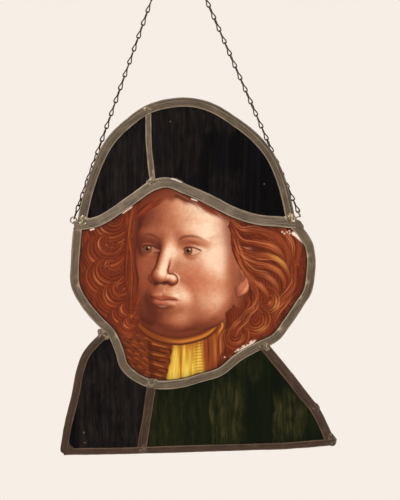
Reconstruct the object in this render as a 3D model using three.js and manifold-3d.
// A hanging leaded glass panel in the outline of a head and shoulders under a wide hat.
// Millimetres, +Z up, seen from -Y. The origin is the inner top of the hanging ring.

import * as THREE from 'three';
import { mergeVertices } from 'three/addons/utils/BufferGeometryUtils.js';
import Module from 'manifold-3d';

const wasm = await Module();
wasm.setup();

// Clearance between pieces that are fitted or laid against each other
const clearance = 0.3;

// Glass and lead strip
const glassThickness = 3;
const leadFlange = 1;
const leadHeart = 1.6;

// Width of each came, across its face
const archWidth = 8.4;
const hatDividerWidth = 5.6;
const brimWidth = 9.5;
const surroundWidth = 7.9;
const leftShoulderWidth = 7.2;
const rightShoulderWidth = 8.5;
const shoulderDividerWidth = 8.4;
const bottomWidth = 6.3;

// A came is swept in straight steps: the longest step, and the most that one turns by, in degrees
const longestStep = 18;
const stepTurn = 7;

// How far the edge line of a pane is drawn on to meet the next one
const edgeReach = 12;

// Size of the panel, over the ends of its bottom came and up to the arch's centreline
const panelWidth = 248;
const panelHeight = 313.5;

// Where the panel hangs from the ring: the ring's height over the arch, and the panel's middle
const ringOverArch = 161;
const panelRight = 20;

// Hanging ring
const ringInnerDiameter = 9;
const ringWire = 1.6;

// Single jack chain: wire, distance from link to link, and outer width of a loop. At a link's waist
// each strand lies a little over half a wire from the link's axis.
const chainWire = 1.05;
const nominalPitch = 12.2;
const loopWidth = 4;
const waistOffset = 0.58 * chainWire;

// How far two links press into each other where they bear, so that a run is one body
const linkBite = 0.12;

// Room between a run's last loop and the ring or wire eye that it hooks into
const hookRoom = 0.5;

// Share of a run, from its eye up, over which its links turn into line with the ring
const twistShare = 0.3;

// Wire eyes behind the hat's corners: each stands out past the arch and up from where the arch ends
const eyeInnerDiameter = 4.2;
const eyeWire = 1.3;
const leftEyeOut = 3.6;
const leftEyeUp = 4.5;
const rightEyeOut = 3.2;
const rightEyeUp = 8.6;
const eyeTailLength = 11;

// Depth of the glass channel, of the whole came, and how far the panel stands before the chain
const channelDepth = glassThickness + 2 * clearance;
const cameDepth = channelDepth + 2 * leadFlange;
const panelForward = cameDepth / 2 + clearance + loopWidth / 2;
const panelDrop = ringOverArch + panelHeight;

// Colours of the materials
const leadTone = 0x766a58;
const lowLeadTone = 0x5a4a3a;
const tinTone = 0xa39c8e;
const chainTone = 0x4a3a26;
const darkGlassTone = 0x18161a;
const greenGlassTone = 0x141c10;
const paintedGlassTone = 0xa4623f;

// A smooth curve in the panel's own plane, with points as [right, up]. Its stations are close where it
// bends and wide where it is straight, and it can be drawn on by a straight stretch at both ends.
class FlatCurve extends THREE.CatmullRomCurve3 {
  constructor(points, drawnOn = 0) {
    super(points.map(([right, up]) => new THREE.Vector3(right, 0, up)), false, 'centripetal');
    const length = this.getLength();
    const fine = Math.ceil(length);
    const shares = [0];
    for (let i = 1; i < fine; i++) {
      const share = i / fine;
      const last = shares[shares.length - 1];
      const turned = this.getTangentAt(share).angleTo(this.getTangentAt(last));
      if ((share - last) * length > longestStep || turned > THREE.MathUtils.degToRad(stepTurn)) {
        shares.push(share);
      }
    }
    shares.push(1);
    this.stations = shares.map((share) => ({
      point: this.getPointAt(share),
      tangent: this.getTangentAt(share),
    }));
    if (drawnOn > 0) {
      const moved = ({ point, tangent }, distance) => ({
        point: point.clone().addScaledVector(tangent, distance),
        tangent: tangent.clone(),
      });
      this.stations.unshift(moved(this.stations[0], -drawnOn));
      this.stations.push(moved(this.stations[this.stations.length - 1], drawnOn));
    }
  }

  getSpacedPoints() {
    return this.stations.map(({ point }) => point.clone());
  }

  // Frames for a section whose first axis is to the front and whose second is to the right of travel
  computeFrenetFrames() {
    const front = new THREE.Vector3(0, -1, 0);
    const tangents = this.stations.map(({ tangent }) => tangent.clone());
    const normals = tangents.map(() => front.clone());
    const binormals = tangents.map((tangent) => tangent.clone().cross(front).normalize());
    return { tangents, normals, binormals };
  }

  lengthened(distance) {
    return new FlatCurve(this.points.map(({ x, z }) => [x, z]), distance);
  }
}

// A point of a curve as [right, up], so that one came can start or end on another
function pointOn(curve, share) {
  const point = curve.getPointAt(share);
  return [point.x, point.z];
}

// Points of the free outline, as hundredths of the panel's width and height from the middle of its bottom
function fitted(points) {
  return points.map(([right, up]) => [(right * panelWidth) / 100, (up * panelHeight) / 100]);
}

// Centrelines of the cames. Border cames run clockwise, so that the panel is on their right. A came that
// ends on another says at what share of the other's length.
const brimCurve = new FlatCurve(fitted([
  [-45, 64.3], [-35.5, 66], [-25.8, 71], [-16.7, 75.9], [-11.3, 76.9], [-4, 74.8],
  [4.4, 71.8], [12.9, 68.4], [21.2, 66.3], [29.8, 65.6], [35.7, 65.1],
]));

const archCurve = new FlatCurve([
  pointOn(brimCurve, 0.03),
  ...fitted([
    [-40.3, 72.7], [-37.5, 79.6], [-32.7, 87.7], [-25.4, 93.9], [-17.1, 98.2], [-4.8, 100],
    [4.8, 98.4], [13.3, 94.4], [21, 89.5], [26.4, 84.1], [30.6, 76.4],
  ]),
  pointOn(brimCurve, 0.98),
]);

const hatDividerCurve = new FlatCurve([
  pointOn(archCurve, 0.395),
  ...fitted([[-17.9, 88]]),
  pointOn(brimCurve, 0.373),
]);

const surroundCurve = new FlatCurve([
  pointOn(brimCurve, 0.015),
  ...fitted([
    [-44.6, 55.2], [-44.6, 47.5], [-41.7, 42.7], [-36.3, 37.5], [-31.5, 33.5], [-28.6, 28.4],
    [-26.8, 24.1], [-21.8, 20.6], [-15.3, 18.8], [-6.5, 19.1], [0.8, 20.7], [8.1, 22.5], [14.5, 26.6],
    [22.2, 30], [28.2, 32.5], [32.7, 37], [36.9, 42.1], [39.7, 45.6], [40.9, 51], [41.1, 55.2],
    [40.1, 59], [37.1, 62.8],
  ]),
  pointOn(brimCurve, 0.98),
]);

const bottomCurve = new FlatCurve(fitted([
  [49.8, 2.4], [32.7, 1.3], [5.2, 0.6], [-22.6, -0.1], [-50.2, -0.5],
]));

const leftShoulderCurve = new FlatCurve([
  pointOn(bottomCurve, 1 - leftShoulderWidth / 2 / bottomCurve.getLength()),
  ...fitted([[-47.6, 5.6], [-44.4, 16.4], [-42.5, 23.6], [-40.3, 27.8]]),
  pointOn(surroundCurve, 0.255),
]);

const upperRightShoulderCurve = new FlatCurve([
  pointOn(surroundCurve, 0.68),
  ...fitted([[29, 25], [34.3, 19.8], [39.5, 14.5], [42.1, 12.1]]),
]);

const lowerRightShoulderCurve = new FlatCurve([
  pointOn(upperRightShoulderCurve, 1),
  ...fitted([[44.2, 9.1], [46.2, 5.7]]),
  pointOn(bottomCurve, rightShoulderWidth / 2 / bottomCurve.getLength()),
]);

const shoulderDividerCurve = new FlatCurve([
  pointOn(surroundCurve, 0.415),
  ...fitted([[-18.3, 11.2]]),
  pointOn(bottomCurve, 0.704),
]);

// Centres of the ring and the eyes, in the ring's frame
const ringCentre = new THREE.Vector3(0, 0, -ringInnerDiameter / 2);
const leftEye = eyeCentreAt(archCurve.getPointAt(0), -archWidth / 2 - leftEyeOut, leftEyeUp);
const rightEye = eyeCentreAt(archCurve.getPointAt(1), archWidth / 2 + rightEyeOut, rightEyeUp);

function eyeCentreAt(archEnd, right, up) {
  return new THREE.Vector3(panelRight + archEnd.x + right, 0, archEnd.z + up - panelDrop);
}

// A closed mesh as a solid that can be joined and cut
function solidFrom(geometry) {
  const bare = geometry.clone();
  bare.deleteAttribute('normal');
  bare.deleteAttribute('uv');
  const merged = mergeVertices(bare, 1e-4);
  return new wasm.Manifold(new wasm.Mesh({
    numProp: 3,
    vertProperties: merged.attributes.position.array,
    triVerts: merged.index.array,
  }));
}

// The faces of a solid as a three.js geometry
function geometryFrom(solid) {
  const mesh = solid.getMesh();
  const geometry = new THREE.BufferGeometry();
  geometry.setAttribute('position', new THREE.BufferAttribute(mesh.vertProperties, 3));
  geometry.setIndex(new THREE.BufferAttribute(mesh.triVerts, 1));
  return geometry;
}

// A section drawn from [front, right] points
function sectionShape(points) {
  return new THREE.Shape(points.map(([front, right]) => new THREE.Vector2(front, right)));
}

// Came with a channel on each side of its heart
function doubleSection(width) {
  const side = width / 2;
  const heart = leadHeart / 2;
  const inner = channelDepth / 2;
  const outer = cameDepth / 2;
  return sectionShape([
    [outer, -side], [outer, side], [inner, side], [inner, heart], [-inner, heart], [-inner, side],
    [-outer, side], [-outer, -side], [-inner, -side], [-inner, -heart], [inner, -heart], [inner, -side],
  ]);
}

// Border came: its heart is the outer edge, on the left of travel, and its channel opens inward
function borderSection(width) {
  const side = width / 2;
  const inner = channelDepth / 2;
  const outer = cameDepth / 2;
  const heart = leadHeart - side;
  return sectionShape([
    [outer, -side], [outer, side], [inner, side], [inner, heart],
    [-inner, heart], [-inner, side], [-outer, side], [-outer, -side],
  ]);
}

function sweep(shape, curve) {
  return solidFrom(new THREE.ExtrudeGeometry(shape, { steps: curve.stations.length - 1, extrudePath: curve }));
}

// The room that a came takes up, with the clearance round it, which its neighbours' ends stay out of
function roomOf(curve, width) {
  const side = width / 2 + clearance;
  const outer = cameDepth / 2 + clearance;
  const shape = sectionShape([[outer, -side], [outer, side], [-outer, side], [-outer, -side]]);
  return sweep(shape, curve.lengthened(clearance));
}

function came(section, curve, rooms) {
  return rooms.reduce((solid, room) => solid.subtract(room), sweep(section, curve));
}

// The line at a distance to the right of a curve, as [right, up] points, drawn on at both ends
function edgeLine(curve, offset) {
  const longer = curve.lengthened(edgeReach);
  const { binormals } = longer.computeFrenetFrames();
  return longer.getSpacedPoints().map((point, i) => {
    point.addScaledVector(binormals[i], offset);
    return [point.x, point.z];
  });
}

// Where two straight pieces cross, or null
function crossing([[ax, az], [bx, bz]], [[cx, cz], [dx, dz]]) {
  const across = (bx - ax) * (dz - cz) - (bz - az) * (dx - cx);
  if (across === 0) return null;
  const along = ((cx - ax) * (dz - cz) - (cz - az) * (dx - cx)) / across;
  const other = ((cx - ax) * (bz - az) - (cz - az) * (bx - ax)) / across;
  if (along < 0 || along > 1 || other < 0 || other > 1) return null;
  return [ax + along * (bx - ax), az + along * (bz - az)];
}

// The last place along one line where it meets the next
function meeting(line, next) {
  for (let i = line.length - 2; i >= 0; i--) {
    for (let j = 0; j < next.length - 1; j++) {
      const point = crossing([line[i], line[i + 1]], [next[j], next[j + 1]]);
      if (point) return { leaves: i, enters: j, point };
    }
  }
  throw new Error('two edges of a pane do not meet');
}

// A flat pane between edge lines that are given clockwise, each cut where it meets the next
function pane(lines) {
  const corners = lines.map((line, i) => meeting(line, lines[(i + 1) % lines.length]));
  const outline = lines.flatMap((line, i) => {
    const start = corners[(i + lines.length - 1) % lines.length];
    const end = corners[i];
    return [start.point, ...line.slice(start.enters + 1, end.leaves + 1)];
  });
  const shape = new THREE.Shape(outline.map(([right, up]) => new THREE.Vector2(right, up)));
  const geometry = new THREE.ExtrudeGeometry(shape, { depth: glassThickness, bevelEnabled: false });
  geometry.rotateX(Math.PI / 2);
  geometry.translate(0, glassThickness / 2, 0);
  return solidFrom(geometry);
}

// Pane edges, seated against the heart of a came with the clearance
const rightOfHeart = leadHeart / 2 + clearance;

function insideBorder(curve, width) {
  return edgeLine(curve, leadHeart + clearance - width / 2);
}

function rightOf(curve) {
  return edgeLine(curve, rightOfHeart);
}

function leftOf(curve) {
  return edgeLine(curve, -rightOfHeart).reverse();
}

// A wire ring round the origin, with its hole along Y
function wireRing(innerDiameter, wire, sides, steps) {
  return new THREE.TorusGeometry((innerDiameter + wire) / 2, wire / 2, sides, steps).rotateX(Math.PI / 2);
}

function roundWire(diameter, sides) {
  const points = [];
  for (let i = 0; i < sides; i++) {
    const angle = (2 * Math.PI * i) / sides;
    points.push(new THREE.Vector2(Math.cos(angle), Math.sin(angle)).multiplyScalar(diameter / 2));
  }
  return new THREE.Shape(points);
}

// The turn that leans an upright piece along a run of chain
function leanOf(eyeCentre) {
  const along = new THREE.Vector3().subVectors(ringCentre, eyeCentre).normalize();
  return new THREE.Quaternion().setFromUnitVectors(new THREE.Vector3(0, 0, 1), along);
}

// Wire eye: a ring standing behind a corner, and a tail that bends forward from its foot and lies on the
// back of the came there
function wireEye(eyeCentre, turn, tailDirection) {
  const sides = 6;
  const tailTouchesAt = 0.4;
  const backOfCame = -panelForward + cameDepth / 2;
  const tailDepth = backOfCame + clearance + eyeWire / 2;
  const lean = leanOf(eyeCentre);
  const ring = wireRing(eyeInnerDiameter, eyeWire, sides, 12).rotateZ(turn).applyQuaternion(lean);
  const root = new THREE.Vector3(0, 0, -(eyeInnerDiameter + eyeWire) / 2).applyQuaternion(lean);
  const tailPoint = (share) => {
    const [right, up] = tailDirection;
    const out = eyeTailLength * share;
    return new THREE.Vector3(root.x + right * out, tailDepth, root.z + up * out);
  };
  const tailPath = new THREE.CatmullRomCurve3(
    [root, tailPoint(tailTouchesAt), tailPoint(1)],
    false,
    'centripetal',
  );
  const tail = new THREE.ExtrudeGeometry(roundWire(eyeWire, sides), { steps: 8, extrudePath: tailPath });
  const solid = solidFrom(ring).add(solidFrom(tail));
  return solid.translate(eyeCentre.x, eyeCentre.y, eyeCentre.z);
}

// One link: a round ring of wire that is drawn in at its waist, with its upper loop turned square to its
// lower one. wireLength is measured between the middles of the wire at the link's two ends.
function linkGeometry(wireLength) {
  const half = wireLength / 2;
  const wireSides = 4;
  const wireSteps = 12;
  const nearby = 0.01;
  const bulge = (loopWidth - chainWire) / 2 / Math.sin(Math.PI / 3) - waistOffset / 2;
  const link = new THREE.TorusGeometry(half, chainWire / 2, wireSides, wireSteps);
  const place = link.attributes.position;
  const spot = (angle) => {
    const side = Math.sin(angle);
    const widened = waistOffset * side + bulge * Math.abs(Math.sin(2 * angle)) * Math.sign(side);
    return new THREE.Vector2(widened, half * Math.cos(angle));
  };
  for (let i = 0; i < place.count; i++) {
    const angle = Math.atan2(place.getX(i), place.getY(i));
    const outward = Math.hypot(place.getX(i), place.getY(i)) - half;
    const centre = spot(angle);
    const step = spot(angle + nearby).sub(spot(angle - nearby)).normalize();
    const across = new THREE.Vector3(
      centre.x - outward * step.y,
      -place.getZ(i),
      centre.y + outward * step.x,
    );
    const turned = THREE.MathUtils.clamp(0.5 + across.z / half, 0, 1) * Math.PI / 2;
    across.applyAxisAngle(new THREE.Vector3(0, 0, 1), turned);
    place.setXYZ(i, across.x, across.y, across.z);
  }
  return link;
}

// A run of chain from a wire eye up to the ring, its links turned from one angle to another
function chainRun(eyeCentre, firstTurn, lastTurn) {
  const along = new THREE.Vector3().subVectors(ringCentre, eyeCentre);
  const distance = along.length();
  along.normalize();
  const lowEnd = eyeInnerDiameter / 2 - hookRoom - chainWire / 2;
  const highEnd = distance - (ringInnerDiameter / 2 - hookRoom - chainWire / 2);
  const bearing = chainWire - linkBite;
  const links = Math.round((highEnd - lowEnd - bearing) / nominalPitch);
  const pitch = (highEnd - lowEnd - bearing) / links;
  const link = linkGeometry(pitch + bearing);
  const lean = leanOf(eyeCentre);
  let run = null;
  for (let i = 0; i < links; i++) {
    const turned = Math.min(i / (links - 1) / twistShare, 1);
    const turn = THREE.MathUtils.lerp(firstTurn, lastTurn, turned);
    const one = link.clone().rotateZ(turn).applyQuaternion(lean);
    const middle = lowEnd + bearing / 2 + pitch * (i + 0.5);
    const centre = eyeCentre.clone().addScaledVector(along, middle);
    const solid = solidFrom(one.translate(centre.x, centre.y, centre.z));
    run = run ? run.add(solid) : solid;
  }
  return run;
}

function node(name, solid, tone, roughness, metalness) {
  const material = new THREE.MeshStandardMaterial({ color: tone, roughness, metalness });
  const mesh = new THREE.Mesh(geometryFrom(solid), material);
  mesh.name = name;
  return mesh;
}

const leadNode = (name, solid, tone) => node(name, solid, tone, 0.6, 0.7);
const glassNode = (name, solid, tone) => node(name, solid, tone, 0.12, 0);
const wireNode = (name, solid, tone) => node(name, solid, tone, 0.45, 0.9);

// The panel, in its own frame
const panel = new THREE.Group();
panel.position.set(panelRight, -panelForward, -panelDrop);

const archRoom = roomOf(archCurve, archWidth);
const brimRoom = roomOf(brimCurve, brimWidth);
const surroundRoom = roomOf(surroundCurve, surroundWidth);
const bottomRoom = roomOf(bottomCurve, bottomWidth);

// The upper length's room is widened, so that its end plane cuts the lower one's whole end
const upperShoulderRoom = roomOf(upperRightShoulderCurve, 2 * rightShoulderWidth);

panel.add(
  leadNode('came_hat_brim', came(doubleSection(brimWidth), brimCurve, []), leadTone),
  leadNode('came_hat_arch', came(borderSection(archWidth), archCurve, [brimRoom]), leadTone),
  leadNode('came_hat_divider',
    came(doubleSection(hatDividerWidth), hatDividerCurve, [archRoom, brimRoom]), leadTone),
  leadNode('came_head_surround', came(doubleSection(surroundWidth), surroundCurve, [brimRoom]), leadTone),
  leadNode('came_bottom', came(borderSection(bottomWidth), bottomCurve, []), lowLeadTone),
  leadNode('came_shoulder_left',
    came(borderSection(leftShoulderWidth), leftShoulderCurve, [surroundRoom, bottomRoom]), lowLeadTone),
  leadNode('came_shoulder_right_upper',
    came(borderSection(rightShoulderWidth), upperRightShoulderCurve, [surroundRoom]), lowLeadTone),
  leadNode('came_shoulder_right_lower',
    came(borderSection(rightShoulderWidth), lowerRightShoulderCurve, [upperShoulderRoom, bottomRoom]),
    lowLeadTone),
  leadNode('came_shoulder_divider',
    came(doubleSection(shoulderDividerWidth), shoulderDividerCurve, [surroundRoom, bottomRoom]), lowLeadTone),
);

panel.add(
  glassNode('hat_pane_left', pane([
    insideBorder(archCurve, archWidth), rightOf(hatDividerCurve), leftOf(brimCurve),
  ]), darkGlassTone),
  glassNode('hat_pane_right', pane([
    insideBorder(archCurve, archWidth), leftOf(brimCurve), leftOf(hatDividerCurve),
  ]), darkGlassTone),
  glassNode('head_pane', pane([
    rightOf(brimCurve), leftOf(surroundCurve),
  ]), paintedGlassTone),
  glassNode('shoulder_pane_left', pane([
    rightOf(surroundCurve), rightOf(shoulderDividerCurve),
    insideBorder(bottomCurve, bottomWidth), insideBorder(leftShoulderCurve, leftShoulderWidth),
  ]), darkGlassTone),
  glassNode('shoulder_pane_right', pane([
    rightOf(surroundCurve), insideBorder(upperRightShoulderCurve, rightShoulderWidth),
    insideBorder(lowerRightShoulderCurve, rightShoulderWidth),
    insideBorder(bottomCurve, bottomWidth), leftOf(shoulderDividerCurve),
  ]), greenGlassTone),
);

// The hanging parts, in the ring's frame
const faceOn = 0;
const edgeOn = Math.PI / 2;
const ringNode = wireNode('hanging_ring', solidFrom(wireRing(ringInnerDiameter, ringWire, 6, 20)), chainTone);
ringNode.position.copy(ringCentre);

const part = new THREE.Group();
part.add(
  panel,
  wireNode('wire_eye_left', wireEye(leftEye, faceOn, [1, 0.1]), tinTone),
  wireNode('wire_eye_right', wireEye(rightEye, edgeOn, [-1, -0.2]), tinTone),
  wireNode('chain_left', chainRun(leftEye, edgeOn, faceOn), chainTone),
  wireNode('chain_right', chainRun(rightEye, faceOn, faceOn), chainTone),
  ringNode,
);

export default part;
